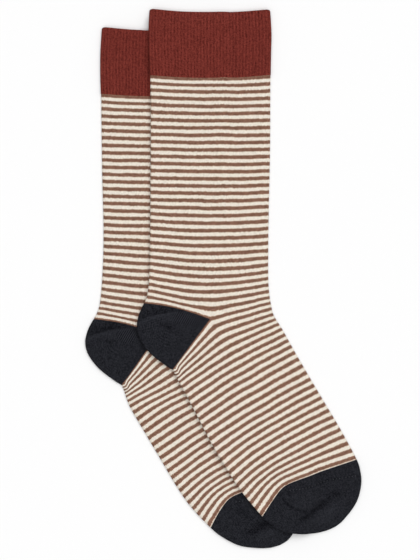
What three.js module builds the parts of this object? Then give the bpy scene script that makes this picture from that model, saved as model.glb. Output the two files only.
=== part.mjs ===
// A pair of ribbed crew socks, laid flat as two shallow tubes, the upper one draped over the lower.
// Millimetres, +Z up. The pair lies on the plane z = 0 with the cuffs towards +Y and the toes towards
// -Y and +X, and the origin is under the middle of the pair.
// Every sock is five knitted pieces: cuff, leg, heel pocket, foot and toe cap.

import * as THREE from "three";

// Driving sizes
const STRIPE_PITCH = 5.45; // one brown and one cream stripe, along the leg
const SEAM_GAP = 0.3; // between neighbouring pieces
const REST_GAP = 0.5; // between the lower sock and the upper one
const HEEL_TIP_GAP = 0.9; // the heel pocket stops this far short of the ankle point
const WALL = { cuff: 1.5, knit: 1.1, pocket: 1.25 }; // thickness of one layer of cloth
const FOLD_FULLNESS = 0.5; // the fold at each side stands this much thicker than the middle
const FOLD_REACH = 9; // and flattens out over about this width
const RIBS_ACROSS = 36; // cuff ribs on one face, 72 all round
const RIB_HEIGHT = 0.4;
const HEEL_FULLNESS = 1.8; // extra depth in the middle of the heel pocket
const HEEL_EDGE_LIFT = 2; // the heel's leg edge bows this far towards the cuff
const LIFT_COURSES = 1.5; // and the courses above it straighten again over this many stripes
const HOLD = 7; // the upper sock keeps its height this far past the lower one
const FALL = 21; // and has come down to the table by this distance
const PAIR_CENTRE = [10.08, 30.21]; // middle of the pair, measured from the upper sock's ankle point

// Where the five pieces begin and end, counted in stripes down from the cuff
const CUFF_TOP = -9.3;
const LEG_TOP = -0.2;
const HEEL_COURSE = 32;
const TOE_COURSE = 57.35;
const TOE_SEAM = 67.3;
const TOE_TIP = 68;
const HALF_SEAM = SEAM_GAP / 2 / 4.4; // half a seam gap in stripes, where the stripes lie closest

// Each row is one knitted course of a sock, with x and y measured from its ankle point. back is on the
// calf and sole side, front on the shin and instep side, and bend is where the course turns between
// them: sharply where round is 0, in an even arc where it is 1. thick is the depth of the flat tube.
const LEG_COURSES = [
  { stripe: -9.3, back: [-45.2, 232.4], bend: [-1.5, 230.1], front: [45, 232.1], round: 1, thick: 3.6 },
  { stripe: -6, back: [-45.8, 214.4], bend: [-1.5, 212.2], front: [46, 214.5], round: 1, thick: 3.6 },
  { stripe: -3, back: [-45.5, 198], bend: [-1.5, 195.9], front: [45.7, 198.4], round: 1, thick: 3.6 },
  { stripe: -0.2, back: [-44.8, 182.4], bend: [-1.5, 180.5], front: [45.4, 183.2], round: 1, thick: 3.4 },
  { stripe: 2, back: [-44.6, 171.3], bend: [-1.5, 169.8], front: [45.3, 171.4], round: 1, thick: 2.8 },
  { stripe: 10, back: [-44.5, 127.5], bend: [-1.5, 126.8], front: [45.1, 127.3], round: 1, thick: 2.7 },
  { stripe: 20, back: [-44.9, 73.5], bend: [-1.5, 71.8], front: [44, 73.5], round: 1, thick: 2.7 },
  { stripe: 26, back: [-45.3, 41.5], bend: [-1.5, 37.5], front: [43.7, 40.7], round: 0.6, thick: 2.8 },
  { stripe: 29, back: [-46, 26], bend: [-1.1, 20.3], front: [44, 25.3], round: 0.3, thick: 2.9 },
  { stripe: 31, back: [-47.4, 16.7], bend: [-0.5, 8], front: [44.9, 16], round: 0.12, thick: 3 },
  { stripe: 32, back: [-49.3, 12], bend: [0, 0], front: [45.6, 12], round: 0, thick: 3 },
];
const FOOT_COURSES = [
  { stripe: 32, back: [-28.1, -37.9], bend: [0, 0], front: [45.6, 12], round: 0, thick: 3 },
  { stripe: 34, back: [-25, -43.9], bend: [6.8, -10.9], front: [47.6, 3.4], round: 0.08, thick: 3 },
  { stripe: 37, back: [-18, -56.6], bend: [13.9, -27.8], front: [54.1, -7.5], round: 0.15, thick: 2.9 },
  { stripe: 41, back: [-7.7, -75], bend: [16.5, -51], front: [64, -25.2], round: 0.25, thick: 2.8 },
  { stripe: 45, back: [2, -93.8], bend: [21, -75.8], front: [75.4, -44.9], round: 0.35, thick: 2.7 },
  { stripe: 49, back: [12.8, -112.1], bend: [28.5, -95.3], front: [86.5, -63.6], round: 0.35, thick: 2.8 },
  { stripe: 53, back: [25.4, -130.9], bend: [39, -114], front: [97.9, -82.8], round: 0.2, thick: 2.9 },
  { stripe: 57.35, back: [39, -147.8], bend: [55.1, -125.6], front: [110.1, -105.4], round: 0.07, thick: 3.1 },
  { stripe: 59, back: [45.4, -153.8], bend: [60.8, -133.5], front: [112.5, -112.1], round: 0.12, thick: 3.4 },
  { stripe: 61.5, back: [55.9, -159.4], bend: [71.3, -141], front: [113.8, -122.6], round: 0.2, thick: 3.8 },
  { stripe: 64, back: [68.3, -161], bend: [83.3, -146.3], front: [111.4, -134.6], round: 0.3, thick: 3.8 },
  { stripe: 66, back: [78.8, -160.4], bend: [92.3, -150.6], front: [106.5, -143.6], round: 0.4, thick: 3.4 },
  { stripe: 67.3, back: [86.3, -158.7], bend: [94.9, -154.4], front: [100.9, -150.4], round: 0.5, thick: 2.9 },
  { stripe: 68, back: [88.9, -158], bend: [94.6, -155.6], front: [98.6, -152.6], round: 0.5, thick: 0.9 },
];
// The heel pocket fans round the ankle point. turn runs from its leg edge, 0, to its foot edge, 1, and
// reach is from the ankle point to the heel's outline.
const HEEL_SPOKES = [
  { turn: 0, reach: 50.7 },
  { turn: 0.25, reach: 54.8 },
  { turn: 0.4, reach: 55 },
  { turn: 0.6, reach: 52.4 },
  { turn: 0.8, reach: 49.2 },
  { turn: 1, reach: 47.2 },
];
// How far the lower sock lies from the upper one, at heights along the sock
const LOWER_SLIDES = [
  { y: -160, slide: [-34.2, -10.8] },
  { y: -148, slide: [-38.1, -9.1] },
  { y: -131, slide: [-40.9, -9.4] },
  { y: -94, slide: [-40.7, -10] },
  { y: -57, slide: [-41.5, -10.5] },
  { y: -38, slide: [-38.4, -11.7] },
  { y: -8, slide: [-39, -12] },
  { y: 12, slide: [-38, -12] },
  { y: 26, slide: [-36.6, -13.4] },
  { y: 72, slide: [-35.1, -13.4] },
  { y: 127, slide: [-36.6, -13.5] },
  { y: 182, slide: [-37, -13.4] },
  { y: 232, slide: [-35.8, -13.7] },
];

// How finely the rings and rows are cut
const ROWS = { cuff: 4, leg: 13, heel: 8, foot: 12, toe: 7 };
const PLAIN_STEPS = { top: 10, bottom: 10, ribbed: false };
const RIBBED_STEPS = { top: RIBS_ACROSS * 2, bottom: 24, ribbed: true };
const HEEL_STEPS = 5;
const FOLD_ANGLES = [45, 90, 135].map(THREE.MathUtils.degToRad);
const SUPPORT_STEP = 5; // spacing of the points that carry the upper sock

const lerp = THREE.MathUtils.lerp;
const mix = (a, b, t) => a.map((value, i) => lerp(value, b[i], t));
const plus = (a, b) => a.map((value, i) => value + b[i]);
const spread = (from, to, count) => Array.from({ length: count + 1 }, (_, i) => lerp(from, to, i / count));
const distance = (a, b) => Math.hypot(a[0] - b[0], a[1] - b[1]);

// The row at a place between the rows of a table, on one smooth curve through all of them
function smoothRow(rows, key, at) {
  const last = rows.length - 1;
  const next = rows.findIndex((row) => row[key] > at);
  const i = next < 0 ? last - 1 : Math.max(next - 1, 0);
  const span = rows[i + 1][key] - rows[i][key];
  const u = (at - rows[i][key]) / span;
  const slope = (k, read) => {
    const before = rows[Math.max(k - 1, 0)];
    const after = rows[Math.min(k + 1, last)];
    return ((read(after) - read(before)) / (after[key] - before[key])) * span;
  };
  const curve = (read) =>
    (2 * u ** 3 - 3 * u ** 2 + 1) * read(rows[i]) +
    (u ** 3 - 2 * u ** 2 + u) * slope(i, read) +
    (3 * u ** 2 - 2 * u ** 3) * read(rows[i + 1]) +
    (u ** 3 - u ** 2) * slope(i + 1, read);
  const row = {};
  for (const [name, value] of Object.entries(rows[i])) {
    row[name] = Array.isArray(value)
      ? value.map((_, part) => curve((r) => r[name][part]))
      : curve((r) => r[name]);
  }
  return row;
}

const nearHeel = (stripe) => THREE.MathUtils.smoothstep(stripe, HEEL_COURSE - LIFT_COURSES, HEEL_COURSE);
const LEG = { rows: LEG_COURSES, lift: (stripe) => HEEL_EDGE_LIFT * nearHeel(stripe) };
const FOOT = { rows: FOOT_COURSES, lift: () => 0 };

// One course of a sock: its width, its depth, and at(t) for t from the back edge, 0, to the front, 1
function course(stretch, stripe) {
  const { back, bend, front, round, thick } = smoothRow(stretch.rows, "stripe", stripe);
  const lift = stretch.lift(stripe);
  const width = distance(back, bend) + distance(bend, front);
  const turn = distance(back, bend) / width;
  const corner = (t) => Math.hypot(t - turn, Math.max(round, 0));
  const bow = (t) => lerp(corner(0), corner(1), t) - corner(t);
  const sag = bend.map((value, i) => value - lerp(back[i], front[i], turn));
  const at = (t) => {
    const share = bow(t) / bow(turn);
    const raised = t < turn ? lift * Math.sin((Math.PI * t) / turn) : 0;
    const [x, y] = mix(back, front, t);
    return [x + sag[0] * share, y + sag[1] * share + raised];
  };
  return { at, turn, thick, width };
}

// One spoke of the heel pocket, from the outline, 0, to just short of the ankle point, 1
function heelSpoke(turn) {
  const { reach } = smoothRow(HEEL_SPOKES, "turn", turn);
  const [legEdge, footEdge] = [LEG_COURSES.at(-1).back, FOOT_COURSES[0].back];
  const clear = SEAM_GAP / reach;
  const start = Math.atan2(legEdge[1], legEdge[0]) + clear;
  const end = Math.atan2(footEdge[1], footEdge[0]) + 2 * Math.PI - clear;
  const angle = lerp(start, end, turn);
  const lift = HEEL_EDGE_LIFT * (1 - turn) ** 3;
  const at = (t) => {
    const fromAnkle = lerp(reach, HEEL_TIP_GAP, t);
    return [Math.cos(angle) * fromAnkle, Math.sin(angle) * fromAnkle + lift * Math.sin(Math.PI * t)];
  };
  const full = (t) => HEEL_FULLNESS * Math.sin(Math.PI * turn) * Math.sin(Math.PI * Math.min(t, 1));
  return { at, full, thick: LEG_COURSES.at(-1).thick, width: reach - HEEL_TIP_GAP };
}

// Depth of the top layer above the table side, at a distance from the nearer fold
function topHeight(thick, fromFold) {
  return thick + FOLD_FULLNESS * Math.exp(-Math.max(fromFold, 0) / FOLD_REACH);
}

// Points round the fold at one edge of the tube, from the top layer to the bottom one
function fold(centre, side, radius, inset) {
  return FOLD_ANGLES.map((a) => [centre + side * radius * Math.sin(a), inset + radius * (1 + Math.cos(a))]);
}

// A flat loop round one course: top layer from back to front, front fold, bottom layer, back fold.
// inset is 0 for the outside of the cloth and the wall's thickness for the inside.
function loop(line, inset, steps) {
  const radius = topHeight(line.thick, 0) / 2 - inset;
  const [left, right] = [inset + radius, line.width - inset - radius];
  const middle = line.width * line.turn;
  const across = (count) => {
    const half = count / 2;
    return [...spread(left, middle, half), ...spread(middle, right, half).slice(1)];
  };
  const top = across(steps.top).map((d, i) => {
    const rib = steps.ribbed && inset === 0 && i % 2 === 1 ? RIB_HEIGHT : 0;
    return [d, topHeight(line.thick, Math.min(d - left, right - d)) - inset + rib];
  });
  const bottom = across(steps.bottom).map((d) => [d, inset]);
  return [
    ...top,
    ...fold(right, 1, radius, inset),
    ...bottom.reverse(),
    ...fold(left, -1, radius, inset).reverse(),
  ];
}

// The same for the heel pocket, which is open towards the ankle point
function openLoop(line, inset, steps) {
  const radius = topHeight(line.thick, 0) / 2 - inset;
  const left = inset + radius;
  const bottom = spread(line.width, left, steps).map((d) => [d, inset]);
  const top = spread(left, line.width, steps).map((d) => {
    const full = line.full((d - left) / (line.width - left));
    return [d, topHeight(line.thick, d - left) + full - inset];
  });
  return [...bottom, ...fold(left, -1, radius, inset).reverse(), ...top];
}

// Sets a loop's points down on the table or on the sock below
function placed(sock, line, points) {
  return points.map(([d, height]) => {
    const [x, y] = sock.shifted(line.at(d / line.width));
    return new THREE.Vector3(x, y, sock.restsAt(x, y) + height);
  });
}

// A wall of cloth between two grids of points, the outside and the inside, row by row. round joins the
// last column to the first. closedEnd sews the last row shut, as at the tip of a toe.
function wall(outside, inside, { round, closedEnd = false }) {
  const columns = outside[0].length;
  const points = [...outside.flat(), ...inside.flat()];
  const outer = (row, column) => row * columns + (column % columns);
  const inner = (row, column) => (outside.length + row) * columns + (column % columns);
  const index = [];
  const quad = (a, b, c, d) => index.push(a, c, b, a, d, c);
  const steps = round ? columns : columns - 1;
  const endRow = { outer: outside.length - 1, inner: inside.length - 1 };
  for (let column = 0; column < steps; column++) {
    const next = column + 1;
    for (let row = 0; row < endRow.outer; row++) {
      quad(outer(row, column), outer(row, next), outer(row + 1, next), outer(row + 1, column));
    }
    for (let row = 0; row < endRow.inner; row++) {
      quad(inner(row, column), inner(row + 1, column), inner(row + 1, next), inner(row, next));
    }
    quad(outer(0, next), outer(0, column), inner(0, column), inner(0, next));
    if (!closedEnd) {
      const [o, i] = [endRow.outer, endRow.inner];
      quad(outer(o, column), outer(o, next), inner(i, next), inner(i, column));
    }
  }
  if (closedEnd) {
    const wrapped = (column) => (column + columns) % columns;
    const middleOfFold = -Math.ceil(FOLD_ANGLES.length / 2);
    for (let a = middleOfFold, b = columns + middleOfFold - 1; a + 1 < b; a++, b--) {
      const corners = [a, a + 1, b - 1, b].map(wrapped);
      quad(...corners.map((column) => outer(endRow.outer, column)));
      quad(...corners.reverse().map((column) => inner(endRow.inner, column)));
    }
  }
  if (!round) {
    for (let row = 0; row < endRow.outer; row++) {
      const far = columns - 1;
      quad(outer(row, 0), outer(row + 1, 0), inner(row + 1, 0), inner(row, 0));
      quad(outer(row + 1, far), outer(row, far), inner(row, far), inner(row + 1, far));
    }
  }
  const geometry = new THREE.BufferGeometry().setFromPoints(points);
  geometry.setIndex(index);
  geometry.computeVertexNormals();
  return geometry;
}

const YARN = {
  rust: new THREE.MeshStandardMaterial({ color: 0x6e2f29, roughness: 0.95, metalness: 0 }),
  striped: new THREE.MeshStandardMaterial({ color: 0xbaa596, roughness: 0.9, metalness: 0 }),
  navy: new THREE.MeshStandardMaterial({ color: 0x24252a, roughness: 0.9, metalness: 0 }),
};

function piece(sock, part, geometry, material) {
  const mesh = new THREE.Mesh(geometry, material);
  mesh.name = `${sock.name}_${part}`;
  return mesh;
}

function tube(sock, stretch, stripes, thickness, steps) {
  const lines = stripes.map((stripe) => course(stretch, stripe));
  const grid = (inset) => lines.map((line) => placed(sock, line, loop(line, inset, steps)));
  return wall(grid(0), grid(thickness), { round: true });
}

function cuff(sock) {
  const stripes = spread(CUFF_TOP, LEG_TOP - HALF_SEAM, ROWS.cuff);
  return piece(sock, "cuff", tube(sock, LEG, stripes, WALL.cuff, RIBBED_STEPS), YARN.rust);
}

function leg(sock) {
  const stripes = spread(LEG_TOP + HALF_SEAM, HEEL_COURSE - HALF_SEAM, ROWS.leg);
  return piece(sock, "leg", tube(sock, LEG, stripes, WALL.knit, PLAIN_STEPS), YARN.striped);
}

function heel(sock) {
  const spokes = spread(0, 1, ROWS.heel).map(heelSpoke);
  const grid = (inset) => spokes.map((spoke) => placed(sock, spoke, openLoop(spoke, inset, HEEL_STEPS)));
  return piece(sock, "heel", wall(grid(0), grid(WALL.pocket), { round: false }), YARN.navy);
}

function foot(sock) {
  const stripes = spread(HEEL_COURSE + HALF_SEAM, TOE_COURSE - HALF_SEAM, ROWS.foot);
  return piece(sock, "foot", tube(sock, FOOT, stripes, WALL.knit, PLAIN_STEPS), YARN.striped);
}

function toe(sock) {
  const stripes = spread(TOE_COURSE + HALF_SEAM, TOE_SEAM, ROWS.toe);
  const lines = [...stripes, TOE_TIP].map((stripe) => course(FOOT, stripe));
  const outside = lines.map((line) => placed(sock, line, loop(line, 0, PLAIN_STEPS)));
  const hollow = lines.slice(0, -1);
  const inside = hollow.map((line) => placed(sock, line, loop(line, WALL.pocket, PLAIN_STEPS)));
  return piece(sock, "toe", wall(outside, inside, { round: true, closedEnd: true }), YARN.navy);
}

// Points over the top of a sock, close together, that another sock can lie on
function topPoints(sock) {
  const points = [];
  const sample = (line, extra) => {
    for (const t of spread(0.02, 0.98, Math.round(line.width / SUPPORT_STEP))) {
      const [x, y] = sock.shifted(line.at(t));
      const fromFold = Math.min(t, 1 - t) * line.width;
      points.push([x, y, topHeight(line.thick, fromFold) + (line.full ? line.full(t) : extra)]);
    }
  };
  const rowsOf = (from, to) => spread(from, to, Math.round(((to - from) * STRIPE_PITCH) / SUPPORT_STEP));
  rowsOf(CUFF_TOP, LEG_TOP).forEach((stripe) => sample(course(LEG, stripe), RIB_HEIGHT));
  rowsOf(LEG_TOP, HEEL_COURSE).forEach((stripe) => sample(course(LEG, stripe), 0));
  rowsOf(HEEL_COURSE, TOE_TIP).forEach((stripe) => sample(course(FOOT, stripe), 0));
  spread(0, 1, 2 * ROWS.heel).forEach((turn) => sample(heelSpoke(turn), 0));
  return points;
}

// The height at which cloth comes to lie over those points, falling smoothly to the table beyond them
function drapedOver(points) {
  return (x, y) => {
    let height = 0;
    for (const [px, py, top] of points) {
      const off = Math.hypot(x - px, y - py);
      if (off >= FALL) continue;
      const fallen = THREE.MathUtils.smoothstep(off, HOLD, FALL);
      height = Math.max(height, (top + REST_GAP) * (1 - fallen));
    }
    return height;
  };
}

function sockOf(sock) {
  return [cuff(sock), leg(sock), heel(sock), foot(sock), toe(sock)];
}

const slid = (point) => plus(point, smoothRow(LOWER_SLIDES, "y", point[1]).slide);
const lower = { name: "lower", shifted: slid, restsAt: () => 0 };
const upper = { name: "upper", shifted: (point) => point, restsAt: drapedOver(topPoints(lower)) };

const pair = new THREE.Group();
pair.position.set(-PAIR_CENTRE[0], -PAIR_CENTRE[1], 0);
pair.add(...sockOf(lower), ...sockOf(upper));

const part = new THREE.Group();
part.add(pair);
export default part;
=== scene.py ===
# %% [markdown]
# # A pair of striped crew socks, laid flat
# Each sock is one knitted tube: a ribbed cuff, a striped leg, a heel pocket, a striped foot and a toe cap.
# The two socks lie flat, the upper one over the lower. The CAD part has the same ten pieces as plain
# solids. This file makes each of them again as a thin sheet of knit, with its stitches and creases.

# %% Open the frame
import math

import bpy
import numpy as np
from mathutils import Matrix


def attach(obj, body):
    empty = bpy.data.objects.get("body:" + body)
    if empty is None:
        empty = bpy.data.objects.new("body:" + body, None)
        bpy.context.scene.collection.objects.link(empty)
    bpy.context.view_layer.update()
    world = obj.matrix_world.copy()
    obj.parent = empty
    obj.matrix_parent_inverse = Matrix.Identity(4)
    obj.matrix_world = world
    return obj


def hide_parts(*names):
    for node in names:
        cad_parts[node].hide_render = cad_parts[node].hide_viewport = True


MM = 0.001
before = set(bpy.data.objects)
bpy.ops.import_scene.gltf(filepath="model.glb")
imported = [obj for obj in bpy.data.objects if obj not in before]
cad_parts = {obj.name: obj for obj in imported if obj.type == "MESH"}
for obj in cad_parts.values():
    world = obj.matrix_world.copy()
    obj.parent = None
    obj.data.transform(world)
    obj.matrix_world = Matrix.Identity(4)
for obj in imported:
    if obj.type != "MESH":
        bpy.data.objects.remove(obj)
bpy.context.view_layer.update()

# %% [markdown]
# ## The camera
# The socks were photographed from straight above. A long lens from far up keeps the view almost without
# perspective, so both ends of the socks are seen square on. The long side of the picture is 420 mm here.

# %% Look straight down
VIEW_LENGTH = 0.420
LENS = 135
SENSOR = 36
CLOTH_HEIGHT = 0.004
PICTURE_CENTRE = (-0.01008, -0.00096)
camera_data = bpy.data.cameras.new("camera_above")
camera_data.lens = LENS
camera_data.sensor_width = SENSOR
camera = bpy.data.objects.new("camera_above", camera_data)
bpy.context.scene.collection.objects.link(camera)
distance = VIEW_LENGTH * LENS / SENSOR
camera.location = (*PICTURE_CENTRE, distance + CLOTH_HEIGHT)
bpy.context.scene.camera = camera
print("camera height in metres:", round(camera.location.z, 3))

# %% [markdown]
# ## The table and the light
# The pair lies on a plain white table. The light is soft and comes from nearly everywhere, so the stripes
# stay even and only a narrow, pale shadow lies beside the cloth. A bright sky gives the even part. A
# very wide light straight above keeps the shadows close to the cloth, as in a tent whose roof is brighter
# than its walls. One more, from beyond the cuffs and from the side that the toes point to, lets a little
# more shadow fall beside the heels, the soles and the toes. The table lies a hair below the cloth.

# %% Table, sky and lights
TABLE_SIZE = 4
TABLE_DROP = 0.0002
TABLE_WHITE = (0.9, 0.9, 0.9)
SKY = 0.42
LIGHTS = {
    "roof_light": {"strength": 1.49, "elevation": 90, "bearing": 0, "spread": 90},
    "cuff_side_light": {"strength": 0.79, "elevation": 56, "bearing": -40, "spread": 40},
}


def plain_material(name, colour, roughness, gloss):
    """A material of one colour, and its shader."""
    material = bpy.data.materials.new(name)
    material.use_nodes = True
    shader = material.node_tree.nodes["Principled BSDF"]
    shader.inputs["Base Color"].default_value = (*colour, 1)
    shader.inputs["Roughness"].default_value = roughness
    shader.inputs["Specular IOR Level"].default_value = gloss
    return material, shader


bpy.ops.object.select_all(action="DESELECT")
bpy.ops.mesh.primitive_plane_add(size=TABLE_SIZE, location=(0, 0, -TABLE_DROP))
table_top = bpy.context.object
table_top.name = "table_top"
white, _ = plain_material("white_table", TABLE_WHITE, 1, 0)
table_top.data.materials.append(white)

world = bpy.data.worlds.new("soft_sky")
bpy.context.scene.world = world
world.use_nodes = True
sky = world.node_tree.nodes["Background"]
sky.inputs["Color"].default_value = (1, 1, 1, 1)
sky.inputs["Strength"].default_value = SKY

for name, setting in LIGHTS.items():
    light_data = bpy.data.lights.new(name, "SUN")
    light_data.energy = setting["strength"]
    light_data.angle = math.radians(setting["spread"])
    light = bpy.data.objects.new(name, light_data)
    tilt = math.radians(90 - setting["elevation"])
    light.rotation_euler = (-tilt, 0, math.radians(setting["bearing"]))
    bpy.context.scene.collection.objects.link(light)
bpy.context.scene.view_settings.view_transform = "Standard"
print("lights beside the sky:", len(LIGHTS))

# %% [markdown]
# ## The shape of a sock, course by course
# Knit grows in courses, one round of stitches after another, so the shape is written down course by
# course. Each row has the course's number in stripes, its back point, the point where it bends and its
# front point, in millimetres from the ankle, then how round the bend is and how thick the flat tube is.
# The toe's courses shrink to a short tip, where the last stitches are.

# %% Courses of the leg and of the foot
LEG_COURSES = [
    (-9.3, -45.2, 233, -1.5, 230.1, 45, 232.5, 1, 3.6),
    (-6, -45.8, 214.4, -1.5, 212.2, 46, 214.5, 1, 3.6),
    (-3, -45.5, 198, -1.5, 195.9, 45.7, 198.4, 1, 3.6),
    (-0.2, -44.8, 182.4, -1.5, 180.5, 45.4, 183.2, 1, 3.4),
    (2, -44.6, 171.3, -1.5, 169.8, 45.3, 171.4, 1, 2.8),
    (10, -44.5, 127.5, -1.5, 126.8, 45.1, 127.3, 1, 2.7),
    (20, -44.9, 73.5, -1.5, 71.8, 44, 73.5, 1, 2.7),
    (26, -45.3, 41.5, -1.5, 37.5, 43.7, 40.7, 0.6, 2.8),
    (29, -46, 26, -1.1, 20.3, 44, 25.3, 0.3, 2.9),
    (31, -47.4, 16.7, -0.5, 8, 44.9, 16, 0.12, 3),
    (32, -49.3, 12, 0, 0, 45.6, 12, 0, 3),
]
FOOT_COURSES = [
    (32, -28.1, -37.9, 0, 0, 45.6, 12, 0, 3),
    (34, -26.1, -41.7, 6.8, -11.2, 47.6, 3.4, 0.08, 3),
    (37, -21.4, -50.7, 13.9, -27.4, 54.1, -7.5, 0.15, 2.9),
    (41, -11, -70, 16.5, -51.5, 64, -25.2, 0.25, 2.8),
    (45, -0.7, -90, 21, -75.6, 75.4, -44.9, 0.35, 2.8),
    (49, 11, -110.2, 28.5, -96.4, 86.5, -63.6, 0.35, 2.9),
    (53, 23.5, -129.2, 39, -114.4, 97.9, -82.8, 0.2, 3),
    (57.35, 39, -147.8, 55.1, -125.6, 110.1, -105.4, 0.07, 3.1),
    (59, 45.4, -153.8, 60.8, -133.5, 112.5, -112.1, 0.12, 3.4),
    (61.5, 55.9, -159.4, 71.3, -141, 113.8, -122.6, 0.2, 3.8),
    (64, 68.2, -161.2, 83.3, -146.3, 111.4, -134.6, 0.3, 3.8),
    (66, 78.6, -161.1, 92.3, -150.6, 106.5, -143.6, 0.4, 3.4),
    (67.3, 86.2, -159.5, 94.9, -154.4, 100.9, -150.4, 0.5, 3.2),
    (68, 88.8, -158.6, 94.7, -155.8, 98.8, -152.7, 0.5, 3.0),
]
CUFF_TOP = -9.3
LEG_TOP = -0.2
HEEL_COURSE = 32
TOE_COURSE = 57.35
TOE_TIP = 68
print("rows in the shape:", len(LEG_COURSES) + len(FOOT_COURSES))

# %% [markdown]
# ## Between the rows
# Courses between the written rows lie on one smooth curve through all of them. The slope at each row comes
# from its two neighbours, so a few dozen rows give an outline without corners. The same helper serves for
# other short lists further down.

# %% A smooth curve through rows
def through(rows, at):
    """Values at each place in at, on a smooth curve through the rows. A row starts with its place."""
    rows = np.array(rows, float)
    at = np.asarray(at, float)
    last = len(rows) - 1
    i = np.clip(np.searchsorted(rows[:, 0], at, side="right") - 1, 0, last - 1)
    span = (rows[i + 1, 0] - rows[i, 0])[..., None]
    u = (at - rows[i, 0])[..., None] / span

    def slope(k):
        step = rows[np.minimum(k + 1, last)] - rows[np.maximum(k - 1, 0)]
        return step[..., 1:] / step[..., :1] * span

    return (
        (2 * u**3 - 3 * u**2 + 1) * rows[i][..., 1:]
        + (u**3 - 2 * u**2 + u) * slope(i)
        + (3 * u**2 - 2 * u**3) * rows[i + 1][..., 1:]
        + (u**3 - u**2) * slope(i + 1)
    )


def ease(value, start, end):
    """0 before start, 1 after end, and a smooth step between them."""
    u = np.clip((value - start) / (end - start), 0, 1)
    return u * u * (3 - 2 * u)


middle = through(LEG_COURSES, [10.0])[0]
print("leg's width at stripe 10 in mm:", round(middle[4] - middle[0], 1))

# %% [markdown]
# ## One course
# On the leg a course is almost straight from back to front. Round the ankle it turns a corner at its bend,
# and further along the foot that corner opens out again. A course is written here as a straight line with
# a sag that is largest at the bend. At the heel's leg edge the courses also arch up a little.

# %% A course from back to front
HEEL_EDGE_LIFT = 2
LIFT_COURSES = 1.5


class Course:
    """Courses of a sock, one for each number in stripe. at(t) runs from the back, 0, to the front, 1."""

    def __init__(self, rows, stripe):
        values = through(rows, stripe)
        self.back, self.bend, self.front = values[..., 0:2], values[..., 2:4], values[..., 4:6]
        self.round = np.maximum(values[..., 6], 0)
        self.thick = values[..., 7]
        back_part = np.linalg.norm(self.bend - self.back, axis=-1)
        self.width = back_part + np.linalg.norm(self.front - self.bend, axis=-1)
        self.turn = back_part / self.width
        near_heel = ease(stripe, HEEL_COURSE - LIFT_COURSES, HEEL_COURSE)
        self.lift = HEEL_EDGE_LIFT * near_heel if rows is LEG_COURSES else 0 * near_heel

    def at(self, t):
        def corner(u):
            return np.hypot(u - self.turn, self.round)

        def bow(u):
            return corner(0) * (1 - u) + corner(1) * u - corner(u)

        straight = self.back + (self.front - self.back) * t[..., None]
        sag = self.bend - self.back - (self.front - self.back) * self.turn[..., None]
        on_back = self.lift * np.sin(np.pi * np.clip(t / self.turn, 0, 1))
        place = straight + sag * (bow(t) / bow(self.turn))[..., None]
        place[..., 1] += on_back
        return place


print("toe course's width in mm:", round(float(Course(FOOT_COURSES, np.array(TOE_COURSE)).width), 1))

# %% [markdown]
# ## How high flat cloth stands
# A flat sock is two layers with a small round fold at each side, where the cloth stands a little fuller.
# A fold that lies on the hard table has settled: it is thin at its very edge and rises over a short
# distance, so it casts only a narrow shadow.

# %% Height beside a fold
FOLD_FULLNESS = 0.5
FOLD_REACH = 9
SETTLING = 1.6
SHOULDER = 1.0
SHOULDER_REACH = 7
UNDER_SHARE = 0.3
TOP_SHARE = 0.8


def top_height(thick, from_fold):
    """Height of the top layer at a distance from the nearer fold."""
    return thick + FOLD_FULLNESS * np.exp(-np.maximum(from_fold, 0) / FOLD_REACH)


def settled(height, full_height, from_edge):
    """Folds that lie on the hard table: thin at their edge, and rising over a short distance."""
    share = height / full_height
    shoulder = SHOULDER * (1 - ease(from_edge, 0, SHOULDER_REACH)) * share
    return full_height * share**SETTLING - shoulder


def top_layer(height, full_height):
    """1 on the top layer, 0 on the under layer, and a smooth change in the fold between them."""
    return ease(height / full_height, UNDER_SHARE, TOP_SHARE)


print("thickness at a fold in mm:", top_height(3.0, 0.0))

# %% [markdown]
# ## Across the tube
# Going round a course, a point is on the top layer, in the front fold, on the under layer or in the back
# fold. The folds get their own closely spaced columns, so that their curve stays smooth. The distance
# walked so far is kept too, because the wales of the knit are evenly spaced along it.

# %% Round a flat tube
def round_tube(width, thick, face_steps, fold_steps):
    """Distance from the back edge, height, outward direction and arc length, all the way round."""
    radius = top_height(thick, 0) / 2
    face = width - 2 * radius
    half_turn = np.pi * radius
    parts = [(face_steps, "top"), (fold_steps, "front"), (face_steps, "under"), (fold_steps, "back")]
    across, height, side, up, arc = [], [], [], [], []
    run = np.zeros_like(width)
    for steps, part in parts:
        for share in np.arange(steps) / steps:
            angle = np.pi * share
            if part == "top":
                place = radius + face * share
                across.append(place)
                height.append(top_height(thick, np.minimum(place - radius, width - radius - place)))
                side.append(0 * width)
                up.append(0 * width + 1)
            elif part == "under":
                across.append(width - radius - face * share)
                height.append(0 * width)
                side.append(0 * width)
                up.append(0 * width - 1)
            else:
                turned = angle if part == "front" else np.pi - angle
                outward = 1 if part == "front" else -1
                middle = width - radius if part == "front" else radius
                across.append(middle + outward * radius * math.sin(turned))
                height.append(radius + radius * math.cos(turned))
                side.append(0 * width + outward * math.sin(turned))
                up.append(0 * width + math.cos(turned))
            arc.append(run + (face if part in ("top", "under") else half_turn) * share)
        run = run + (face if part in ("top", "under") else half_turn)
    for values in (across, height, side, up):
        values.append(values[0])
    arc.append(run)
    return [np.stack(values, axis=-1) for values in (across, height, side, up, arc)]


print("points round a small tube:", round_tube(np.array([90.0]), np.array([3.0]), 4, 2)[0].shape[1])
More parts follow.
